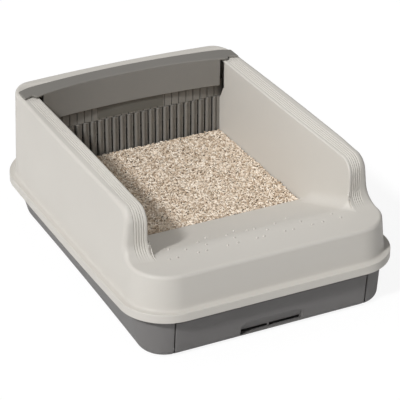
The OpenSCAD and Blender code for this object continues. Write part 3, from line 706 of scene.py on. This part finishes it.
SLAT_PITCH, SLAT_COUNT = 12.4, 24
SLOT_HW, SLOT_LOW, SLOT_TOP = 1.6, 64.0, 132.0
GRILLE_TOP, GRILLE_LOW, GRILLE_HW = 160.0, 58.5, 159.5
PANEL_HW, PANEL_LOW, PANEL_PROUD = 56.0, 136.0, 1.6
GRILLE_T = 3.0
# The ridge on the right of each slot: [distance from the slot's middle, how far it stands proud].
RIDGE = [(SLOT_HW, 1.0), (SLOT_HW + 0.5, 1.9), (3.0, 2.4), (4.6, 2.4), (6.0, 1.8), (7.2, 0.6), (8.0, 0.0)]
# Above the slots a fine line runs this much further right; it is sunk as deep as the rest stands proud.
LINE_SHIFT, LINE_HW, LINE_DEPTH, STEP_DEPTH = 3.2, 0.5, 0.9, 0.4


def rear_grille():
    slots = [(i - (SLAT_COUNT - 1) / 2) * SLAT_PITCH for i in range(SLAT_COUNT)]
    near_slot = [-SLOT_HW - 0.5, -SLOT_HW] + [d for d, _ in RIDGE]
    near_slot += [LINE_SHIFT + d for d in (-0.9, -0.3, 0.3, 0.9)]
    xs = lines([-GRILLE_HW, GRILLE_HW], *[[x + d for d in near_slot] for x in slots])
    zs = lines([GRILLE_LOW, SLOT_LOW, 90, 110, 125, SLOT_TOP - 0.8, SLOT_TOP, SLOT_TOP + 0.6, SLOT_TOP + 1.4,
                140, 150, GRILLE_TOP])
    left = SLOT_HW + 0.6     # what belongs to a slot starts this far left of its middle

    def proud(x, z):
        d = (x - slots[0] + left) % SLAT_PITCH - left
        if z > SLOT_TOP + 1.0:
            return -LINE_DEPTH if abs(d - LINE_SHIFT) < LINE_HW else LINE_DEPTH
        if z > SLOT_TOP + 0.3:
            return -STEP_DEPTH
        return float(np.interp(d, *zip((SLOT_HW - 0.01, 0.0), *RIDGE)))

    s = Surface()
    front = [[(x, GRILLE_Y - proud(x, z), z) for x in xs] for z in zs]
    back = [[(x, GRILLE_Y + GRILLE_T, z) for x in xs] for z in zs]
    middles = [(a + b) / 2 for a, b in zip(xs, xs[1:])]
    slot_cells = {j for j, mid in enumerate(middles) if any(abs(mid - x) < SLOT_HW for x in slots)}
    rows = {i for i in range(len(zs) - 1) if SLOT_LOW - 0.01 < zs[i] < SLOT_TOP - 0.01}
    slab(s, front, back, keep=lambda i, j: not (i in rows and j in slot_cells))
    obj = s.build("rear_grille_moulding", outward=((6, GRILLE_Y, 145), (0, -1, 0)))
    finish_piece(obj, "tray", GREY, ["rear_grille"], sharp=30)


def grille_panel():
    s = Surface()
    block(s, (-PANEL_HW, PANEL_HW), (GRILLE_Y - PANEL_PROUD, GRILLE_Y + 1.0), (PANEL_LOW, GRILLE_TOP - 0.2))
    obj = s.build("grille_pad", outward=((0, GRILLE_Y - PANEL_PROUD, 150), (0, -1, 0)))
    bevel(obj, 0.5)
    # the pad takes the darker grey as painted shade under the apron
    finish_piece(obj, "tray", GREY_PAINTED_SHADE)


def block(s, x, y, z):
    """A box between pairs of x, y and z; a corner's digits say which of each pair it takes."""
    corner = {f"{i}{j}{k}": (x[i], y[j], z[k]) for i in (0, 1) for j in (0, 1) for k in (0, 1)}
    for quad in ("000 010 110 100", "001 101 111 011", "000 100 101 001",
                 "010 011 111 110", "000 001 011 010", "100 110 111 101"):
        s.face([corner[digits] for digits in quad.split()])


def bevel(obj, width, segments=2, angle=40):
    m = obj.modifiers.new("edges", "BEVEL")
    m.width, m.segments = width * MM, segments
    m.limit_method = "ANGLE"
    m.angle_limit = radians(angle)


# ---- base tub

BASE_RIM = [194.5, -265.0, 255.6, 55.5, 71.5, 3.2, 0.0]
BASE_FOOT = [183.0, -259.0, 251.6, 39.0, 64.0, -3.0, 4.2]
FLARE_Z, BASE_Z, BASE_TOP, BASE_T, BASE_R = 62.0, 1.0, 81.6, 2.5, 11.0
OPENING_HW, OPENING_TOP = 151.4, 57.0
# Grid heights from the drawer's opening up.
HEADER_ZS = (OPENING_TOP, FLARE_Z - 1, FLARE_Z, 70, BASE_TOP)
BASE_FLOOR_FRONT = -240.6
# The ledge under the tray, as [inset, height] all round, and the guide on the drawer's left.
TRAY_LEDGE = [(1.5, 69.0), (10.5, 69.0), (10.5, 66.0), (1.5, 66.0), (1.5, 69.0)]
GUIDE_X, GUIDE_Y, GUIDE_Z = (-151.0, -148.5), (-240.0, 219.0), (3.2, 25.5)


def base_level(z):
    return lerp(BASE_FOOT, BASE_RIM, min(z / FLARE_Z, 1))


def param_at_x(level, x):
    """The outline's parameter in the front half where it reaches this x."""
    lo, hi = 0.3, 2.0
    for _ in range(40):
        mid = (lo + hi) / 2
        lo, hi = (mid, hi) if outline(level, mid)[0] < x else (lo, mid)
    return (lo + hi) / 2


def stations(*counts):
    """Outline parameters from the middle of the front to that of the rear, with so many on each stretch."""
    out = [0.0]
    for i, count in enumerate(counts):
        out += list(np.linspace(i, i + 1, count)[1:])
    return out


def base_tub():
    s = Surface()
    rows = [(BASE_R + 3, BASE_Z), (BASE_R + 1.5, BASE_Z)]
    rows += [(BASE_R * (1 - sin(t)), BASE_Z + BASE_R * (1 - cos(t)))
             for t in np.linspace(0, pi / 2, 11)]
    rows += [(0, z) for z in (24, 36, 48, *HEADER_ZS)]
    beyond = [a for a in stations(2, 2, 12, 22, 12) if a > 2]
    grid = []
    for d, z in rows:
        level = inset(base_level(z), d)
        cut = param_at_x(level, OPENING_HW)
        params = [cut + (2 - cut) * i / 20 for i in range(21)] + beyond
        grid.append([(*outline(level, a), z) for a in params])
    s.grid(grid)
    header = []
    for z in HEADER_ZS:
        level = base_level(z)
        cut = param_at_x(level, OPENING_HW)
        header.append([(*outline(level, cut * i / 16), z) for i in range(17)])
    s.grid(header)
    s.mirror()
    # the floor: from the drawer's opening round the right side and back along the left
    ring = grid[0]
    s.face([(0, BASE_FLOOR_FRONT, BASE_Z), (OPENING_HW, BASE_FLOOR_FRONT, BASE_Z)] + ring
           + [(-x, y, z) for x, y, z in ring[-2::-1]] + [(-OPENING_HW, BASE_FLOOR_FRONT, BASE_Z)])
    obj = s.build("base_tub_moulding", outward=((-190, 0, 40), (-1, 0, 0)))
    solid = obj.modifiers.new("thickness", "SOLIDIFY")
    solid.thickness, solid.offset = BASE_T * MM, -1
    bevel(obj, 0.5)
    finish_piece(obj, "base", GREY_BASE, ["base_tub"], sharp=32)


def tray_ledge_and_guides():
    s = Surface()
    params = stations(8, 14, 12, 14, 8)
    s.grid([[(*outline(inset(BASE_RIM, d), a), z) for a in params] for d, z in TRAY_LEDGE])
    block(s, GUIDE_X, GUIDE_Y, GUIDE_Z)
    s.mirror()
    obj = s.build("tray_ledge_and_guides", outward=((0, -266, 69), (0, 0, 1)))
    bevel(obj, 0.4)
    # the ledge and guides take the darker grey as painted shade inside the base
    finish_piece(obj, "base", GREY_PAINTED_SHADE)


FOOT_SPOTS = {"foot_front_left": (-128, -205), "foot_front_right": (128, -205),
              "foot_rear_left": (-128, 195), "foot_rear_right": (128, 195)}


# A foot is a slot shape: half its straight length, and the radius of its ends.
FOOT_HALF, FOOT_R = 11.0, 7.0
# The foot's rings: [inset, height].
FOOT_RINGS = [(0.6, 0.0), (0.15, 0.15), (0.0, 0.6), (0.0, 1.8)]


def foot_ring(cx, cy, d, z):
    out = []
    for i in range(32):
        t = radians(90 - 360 * (i + 0.5) / 32)
        r = FOOT_R - d
        out.append((cx + copysign(FOOT_HALF, cos(t)) + r * cos(t), cy + r * sin(t), z))
    return out


def feet():
    for node, (cx, cy) in FOOT_SPOTS.items():
        s = Surface()
        rings = [foot_ring(cx, cy, d, z) for d, z in FOOT_RINGS]
        s.grid([ring + [ring[0]] for ring in rings])
        s.face(rings[0])
        s.face(rings[-1])
        obj = s.build(node + "_pad", outward=((cx, cy, 0), (0, 0, -1)))
        finish_piece(obj, "base", RUBBER, [node])


# ---- drawer

FRONT_HW, FRONT_LOW, FRONT_TOP, FRONT_T = 149.3, 1.2, 55.8, 3.0
RECESS_HW, RECESS_TOP, RECESS_R, RECESS_DEPTH, RECESS_LIP = 49.5, 27.5, 13.0, 5.0, 0.7
SLOT_Z = (7.6, 13.6)
SILL_Z, RECESS_LOW = 7.2, 13.9
PAN_HW, PAN_Y = 146.0, (-240.3, 225.7)
FRONT_SLOTS = [(-46.5, -4.6), (-2.2, 46.5)]
# The rounding of the front's edges, where grid lines carry it, and the pitch round the recess.
EDGE_R, EDGE_LINES, FINE = 1.2, (0, 0.15, 0.4, 0.8, 1.2), 0.45
# The pan's section from the middle of its underside, up the outside, over the lip and down the inside:
# [inset, height].
PAN_SECTION = [(3.0, 4.0), (1.2, 4.3), (0.2, 5.6), (0.0, 8.0), (0.0, 49.4), (0.3, 49.9), (1.9, 49.9),
               (2.2, 49.4), (2.2, 10.5), (3.0, 7.6), (5.0, 6.2)]
# The ribs that the pan slides on, and the arms that hold the front.
RIB_X, RIB_Z, ARM_X, ARM_Z = (129.0, 135.0), (3.65, 4.2), (99.0, 111.0), (20.0, 34.0)


def face_y(x, z):
    """The base's own front at this height, with its rounded lower edge."""
    low = max(BASE_Z + BASE_R - z, 0)
    hw, yf, _, rf = inset(base_level(z), BASE_R - sqrt(BASE_R ** 2 - low ** 2))[:4]
    past_flat = max(abs(x) - (hw - rf), 0)
    return yf + rf - sqrt(rf * rf - past_flat * past_flat)


def skin_back(x, z):
    """The rear of the drawer front's skin: it turns in under the lower edge."""
    top, centre = BASE_Z + BASE_R, face_y(x, BASE_Z)
    if z >= top:
        return face_y(x, z) + FRONT_T
    if z >= BASE_Z + FRONT_T:
        return centre - sqrt(max((BASE_R - FRONT_T) ** 2 - (top - z) ** 2, 0))
    return centre + 2.0 * (BASE_Z + FRONT_T - z) / (BASE_Z + FRONT_T - FRONT_LOW)


def inside_recess(x, z):
    """Distance inside the recess's outline, negative outside it."""
    dx = abs(x) - (RECESS_HW - RECESS_R)
    dz = z - (RECESS_TOP - RECESS_R)
    if dx > 0 and dz > 0:
        return RECESS_R - hypot(dx, dz)
    return RECESS_R - max(dx, dz)


def recess_depth(z):
    return float(np.interp(z, [RECESS_LOW, RECESS_TOP], [RECESS_DEPTH, RECESS_LIP]))


def drawer_front():
    near_ends = [side * (FRONT_HW - d) for side in (-1, 1) for d in EDGE_LINES]
    xs = lines(np.linspace(-FRONT_HW, FRONT_HW, 61), near_ends,
               np.arange(-RECESS_HW - 0.5, -RECESS_HW + 10, FINE),
               np.arange(RECESS_HW - 10, RECESS_HW + 0.6, FINE),
               [v for slot in FRONT_SLOTS for v in slot], least=0.1)
    # heights, and whether the recess is cut in there
    zs = [(z, False) for z in (FRONT_LOW, 1.3, 1.5, 1.8, 2.2, 2.7, 3.3, 4.0, 4.8, 5.7, 6.7, SILL_Z)]
    zs += [(z, True) for z in (SILL_Z + 0.02, SLOT_Z[0], 9.5, 11.5, SLOT_Z[1])]
    zs += [(z, True) for z in lines([RECESS_LOW], np.arange(14.1, 28.5, FINE), np.arange(30, 54, 3.0),
                                    [FRONT_TOP - d for d in EDGE_LINES])]

    def front_point(x, z, deep):
        y = face_y(x, z)
        if deep:
            y += recess_depth(z) * smooth(inside_recess(x, z) / 0.9)
        e = min(FRONT_HW - abs(x), FRONT_TOP - z)
        if e < EDGE_R:
            y += EDGE_R - sqrt(EDGE_R ** 2 - (EDGE_R - e) ** 2)
        return x, y, z

    def back_point(x, z):
        y = skin_back(x, z)
        if z > SILL_Z - 0.5:
            scooped = face_y(x, max(z, RECESS_LOW)) + recess_depth(z) + FRONT_T
            y += max(scooped - y, 0) * smooth((inside_recess(x, z) + 3) / 3)
        return x, y, z

    s = Surface()
    front = [[front_point(x, z, deep) for x in xs] for z, deep in zs]
    back = [[back_point(x, z) for x in xs] for z, _ in zs]

    def keep(i, j):
        x, z = (xs[j] + xs[j + 1]) / 2, (zs[i][0] + zs[i + 1][0]) / 2
        return not (SLOT_Z[0] < z < SLOT_Z[1] and any(a < x < b for a, b in FRONT_SLOTS))

    slab(s, front, back, keep)
    # the lower edge turns back towards the pan and closes the recess from below
    block(s, (-RECESS_HW - 6, RECESS_HW + 6), (face_y(0, BASE_Z) + 1, PAN_Y[0] - 0.9),
          (FRONT_LOW + 0.05, BASE_Z + FRONT_T))
    obj = s.build("drawer_front_moulding", outward=((100, -265, 40), (0, -1, 0)), weld=0.001)
    finish_piece(obj, "drawer", GREY_BASE, ["drawer_front"], sharp=40)


def rounded_rect(hx, y0, y1, r, z, n=7):
    """A loop of points, anticlockwise from above."""
    out = []
    corners = ((hx - r, y0 + r, -90), (hx - r, y1 - r, 0), (-hx + r, y1 - r, 90), (-hx + r, y0 + r, 180))
    for cx, cy, start in corners:
        out += [(x, y, z) for x, y in arc(cx, cy, r, start, start + 90, n)]
    return out


def drawer_pan():
    s = Surface()
    rings = [rounded_rect(PAN_HW - d, PAN_Y[0] + d, PAN_Y[1] - d, max(10 - d, 4), z) for d, z in PAN_SECTION]
    s.grid([ring + [ring[0]] for ring in rings])
    s.face(rings[0][::-1])
    s.face(rings[-1])
    for side in (-1, 1):
        block(s, sorted(side * x for x in RIB_X), (PAN_Y[0] + 10, PAN_Y[1] - 10), RIB_Z)
        block(s, sorted(side * x for x in ARM_X), (face_y(105, 27) + FRONT_T - 0.5, PAN_Y[0] + 0.5), ARM_Z)
    obj = s.build("drawer_pan_moulding", outward=((-PAN_HW, 0, 30), (-1, 0, 0)))
    # the pan takes the darker grey as painted shade, seen dark through the front's slots
    finish_piece(obj, "drawer", GREY_PAINTED_SHADE, ["drawer_pan"], sharp=35)


PAD_HALF, PAD_Y, PAD_Z = 139.8, (-234.1, 219.5), (6.3, 10.1)
PAD_FLAT, PAD_BORDER, PAD_QUILT = 0.9, 9.0, 38.0  # thickness at a seam, border, size of a diamond


def absorbent_pad():
    """A thin quilted pad: puffed diamonds between sewn lines, with a flat welded border."""
    s = Surface()
    nx, ny = 112, 180
    loft = PAD_Z[1] - PAD_Z[0] - PAD_FLAT
    top, low = [], []
    for j in range(ny + 1):
        y = PAD_Y[0] + (PAD_Y[1] - PAD_Y[0]) * j / ny
        row = []
        for i in range(nx + 1):
            x = -PAD_HALF + 2 * PAD_HALF * i / nx
            e = min(PAD_HALF - abs(x), y - PAD_Y[0], PAD_Y[1] - y)
            u, v = (x + y) / PAD_QUILT, (x - y) / PAD_QUILT
            puff = abs(sin(pi * u) * sin(pi * v)) ** 0.5
            inside = smooth((e - PAD_BORDER * 0.4) / PAD_BORDER)
            row.append((x, y, PAD_Z[0] + PAD_FLAT + loft * inside * puff))
        top.append(row)
        low.append([(x, y, PAD_Z[0]) for x, y, z in row])
    slab(s, top, low)
    obj = s.build("absorbent_pad_quilted", outward=((0, 0, 10), (0, 0, 1)))
    finish_piece(obj, "drawer", PAD_FABRIC, ["absorbent_pad"], sharp=60)


# ---- litter

LITTER_X, LITTER_Y = 154.5, (-57.5, 209.3)
WAVE, GROUND_DEPTH = 0.7, 3.6  # height of the bed's waves, depth of the ground under the pellets
PELLET_SIDES, PELLET_MARGIN, PELLET_SINK = 7, 2.5, 1.4
PELLET_LEVELS = [(-1.0, 0.72), (-0.84, 1.0), (0.84, 1.0), (1.0, 0.72)]  # [place along the rod, width]
PELLET_LAYERS = [(3.2, 0.0), (3.3, 2.1)]  # [pitch, depth]


def litter_height(x, y):
    return WAVE * sin(radians(5.4 * x)) * cos(radians(4.7 * y))


def litter_surface():
    """The closed ground under the pellets, dark brown as painted shade in the gaps between them."""
    s = Surface()
    xs, ys = np.linspace(-LITTER_X, LITTER_X, 60), np.linspace(*LITTER_Y, 54)
    s.grid([[(x, y, LITTER_Z - GROUND_DEPTH + litter_height(x, y)) for x in xs] for y in ys])
    obj = s.build("litter_bed_surface", outward=((0, 80, LITTER_Z), (0, 0, 1)))
    finish_piece(obj, "tray", LITTER_GAP_SHADE, ["litter_bed"])


def pellet_shapes(rng):
    """Uneven short rods of unit size, each of 28 points, and the 23 faces that they share."""
    turns = [2 * pi * j / PELLET_SIDES for j in range(PELLET_SIDES)]
    shapes = []
    for _ in range(12):
        lean = rng.uniform(-0.16, 0.16, 4)
        points = []
        for z, w in PELLET_LEVELS:
            for t in turns:
                x = w * cos(t) * rng.uniform(0.9, 1.1)
                y = w * sin(t) * rng.uniform(0.9, 1.1)
                points.append((x, y, z + (lean[0] * cos(t) if z > 0 else lean[1] * sin(t))))
        shapes.append(np.array(points))
    n = PELLET_SIDES
    faces = [tuple(range(n))[::-1], tuple(range(3 * n, 4 * n))]
    for i in range(3):
        for j in range(n):
            a, b = i * n + j, i * n + (j + 1) % n
            faces.append((a, b, b + n, a + n))
    return shapes, faces


def litter_pellets():
    """The pellets are turned, scaled and strewn in two layers."""
    rng = np.random.default_rng(7)
    shapes, faces = pellet_shapes(rng)
    x0, x1 = -LITTER_X + PELLET_MARGIN, LITTER_X - PELLET_MARGIN
    y0, y1 = LITTER_Y[0] + PELLET_MARGIN, LITTER_Y[1] - PELLET_MARGIN
    verts, polys = [], []
    for pitch, depth in PELLET_LAYERS:
        for gx in np.arange(x0, LITTER_X - 2, pitch):
            for gy in np.arange(y0, LITTER_Y[1] - 2, pitch):
                x = np.clip(gx + rng.uniform(-1.5, 1.5), x0, x1)
                y = np.clip(gy + rng.uniform(-1.5, 1.5), y0, y1)
                r = rng.uniform(0.8, 1.12)
                size = np.array([r, r, rng.uniform(1.7, 2.9)])
                turn = np.array(Matrix.Rotation(rng.uniform(0, 2 * pi), 3, "Z")
                                @ Matrix.Rotation(radians(rng.normal(90, 17)), 3, "Y"))
                z = LITTER_Z - PELLET_SINK - depth + litter_height(x, y) + rng.uniform(-0.7, 0.7)
                count = len(verts)
                points = (shapes[count % len(shapes)] * size) @ turn.T + (x, y, z)
                polys += [tuple(k + count * len(points) for k in f) for f in faces]
                verts.append(points)
    mesh = bpy.data.meshes.new("litter_pellets")
    mesh.from_pydata(np.concatenate(verts) * MM, [], polys)
    obj = link("litter_pellets", mesh)
    finish_piece(obj, "tray", PELLETS, sharp=55, weighted=False)


def sieve_tray():
    """The frame's own tray stays, in the darker grey that paints the shade inside the box."""
    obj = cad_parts["sieve_tray"]
    obj.data.materials.clear()
    obj.data.materials.append(GREY_PAINTED_SHADE)


# ---- camera, light and floor

# Fitted to the photo's outline: turns in degrees, target in millimetres, distance and shift in metres.
CAM_YAW, CAM_PITCH, CAM_ROLL = 26.427, 28.397, 0.173
CAM_TARGET = (0, -29.569, 103.5)
CAM_DISTANCE, CAM_RIGHT, CAM_DOWN, CAM_LENS = 2.78831, 0.0017005, 0.0058467, 171.33


def camera():
    yaw, pitch, roll = (radians(a) for a in (CAM_YAW, CAM_PITCH, CAM_ROLL))
    d = Vector((sin(yaw) * cos(pitch), cos(yaw) * cos(pitch), -sin(pitch)))
    right = Vector((cos(yaw), -sin(yaw), 0))
    up = right.cross(d)
    right, up = right * cos(roll) + up * sin(roll), up * cos(roll) - right * sin(roll)
    eye = Vector(CAM_TARGET) * MM - d * CAM_DISTANCE + right * CAM_RIGHT - up * CAM_DOWN
    cam = bpy.data.objects.new("camera", bpy.data.cameras.new("camera"))
    cam.data.lens, cam.data.sensor_width = CAM_LENS, 36.0
    cam.data.clip_end = 50
    cam.matrix_world = Matrix(((right.x, up.x, -d.x, eye.x), (right.y, up.y, -d.y, eye.y),
                               (right.z, up.z, -d.z, eye.z), (0, 0, 0, 1)))
    bpy.context.scene.collection.objects.link(cam)
    bpy.context.scene.camera = cam


def light(name, kind, position, energy, size, target):
    """size is an area light's diameter in metres, or the sun's angle."""
    data = bpy.data.lights.new(name, kind)
    data.energy = energy
    if kind == "AREA":
        data.shape, data.size = "DISK", size
    if kind == "SUN":
        data.angle = size
    obj = bpy.data.objects.new(name, data)
    obj.location = position
    obj.rotation_euler = (Vector(target) - Vector(position)).to_track_quat("-Z", "Y").to_euler()
    bpy.context.scene.collection.objects.link(obj)


# Strength of the sky's light by side, as [axis, sign, strength], then the key light and the fill in the pit.
SKY = [("X", -1, 0.33), ("X", 1, 0.02), ("Y", -1, 0.04), ("Y", 1, 0.08), ("Z", 1, 0.34)]
KEY, FILL = 2.35, 0.22
KEY_FROM, KEY_ANGLE = (-0.645, -0.33, 0.69), 6
FILL_PLACE, FILL_SIZE, FILL_TARGET = (-0.1, -0.08, 0.42), 0.16, (0.155, 0.02, 0.13)
# The floor in millimetres and its grey; seen by the camera it glows this strongly, by this share.
FLOOR_HALF, FLOOR_Z, FLOOR_GREY, FLOOR_GLOW, FLOOR_SHARE = 6000, -0.2, 0.85, 1.06, 0.85


def sky_strength(tree):
    """The light from the sky differs by direction."""
    coords, axes = add_node(tree, "TexCoord"), add_node(tree, "SeparateXYZ")
    wire(tree, (coords, "Generated", axes, 0))
    total = None
    for axis, sign, strength in SKY:
        turned, share, part = (add_node(tree, "Math") for _ in range(3))
        turned.operation, share.operation, part.operation = "MULTIPLY", "MAXIMUM", "MULTIPLY_ADD"
        turned.inputs[1].default_value = sign
        share.inputs[1].default_value = 0.0
        part.inputs[1].default_value = strength
        part.inputs[2].default_value = 0.0
        wire(tree, (axes, axis, turned, 0), (turned, 0, share, 0), (share, 0, part, 0))
        if total:
            wire(tree, (total, 0, part, 2))
        total = part
    return total


def studio():
    bpy.context.scene.view_settings.view_transform = "Standard"
    world = bpy.data.worlds.new("studio")
    bpy.context.scene.world = world
    world.use_nodes = True
    tree = world.node_tree
    tree.nodes.clear()
    out, path, mix = add_node(tree, "OutputWorld"), add_node(tree, "LightPath"), add_node(tree, "MixShader")
    soft, white = (add_node(tree, "Background", Color=WHITE, Strength=1.0) for _ in range(2))
    wire(tree, (sky_strength(tree), 0, soft, "Strength"), (path, "Is Camera Ray", mix, "Fac"),
         (soft, "Background", mix, 1), (white, "Background", mix, 2), (mix, "Shader", out, "Surface"))
    light("key", "SUN", KEY_FROM, KEY, radians(KEY_ANGLE), (0, 0, 0))
    light("pit_fill", "AREA", FILL_PLACE, FILL, FILL_SIZE, FILL_TARGET)


def floor():
    s = Surface()
    s.grid([[(x, y, FLOOR_Z) for x in (-FLOOR_HALF, FLOOR_HALF)] for y in (-FLOOR_HALF, FLOOR_HALF)])
    obj = s.build("floor", outward=((0, 0, 0), (0, 0, 1)))
    m = bpy.data.materials.new("floor")
    m.use_nodes = True
    tree = m.node_tree
    bsdf, out = tree.nodes["Principled BSDF"], tree.nodes["Material Output"]
    bsdf.inputs["Base Color"].default_value = (FLOOR_GREY, FLOOR_GREY, FLOOR_GREY, 1)
    bsdf.inputs["Roughness"].default_value = 0.9
    # seen by the camera the floor is nearly white, and keeps a faint shadow
    glow, mix = add_node(tree, "Emission", Strength=FLOOR_GLOW), add_node(tree, "MixShader")
    path, share = add_node(tree, "LightPath"), add_node(tree, "Math")
    share.operation = "MULTIPLY"
    share.inputs[1].default_value = FLOOR_SHARE
    wire(tree, (path, "Is Camera Ray", share, 0), (share, "Value", mix, "Fac"), (bsdf, "BSDF", mix, 1),
         (glow, "Emission", mix, 2), (mix, "Shader", out, "Surface"))
    obj.data.materials.append(m)


camera()
studio()
floor()
upper_shell()
deck_dots()
rear_cap()
rear_grille()
grille_panel()
litter_surface()
litter_pellets()
base_tub()
tray_ledge_and_guides()
feet()
drawer_front()
drawer_pan()
absorbent_pad()
sieve_tray()
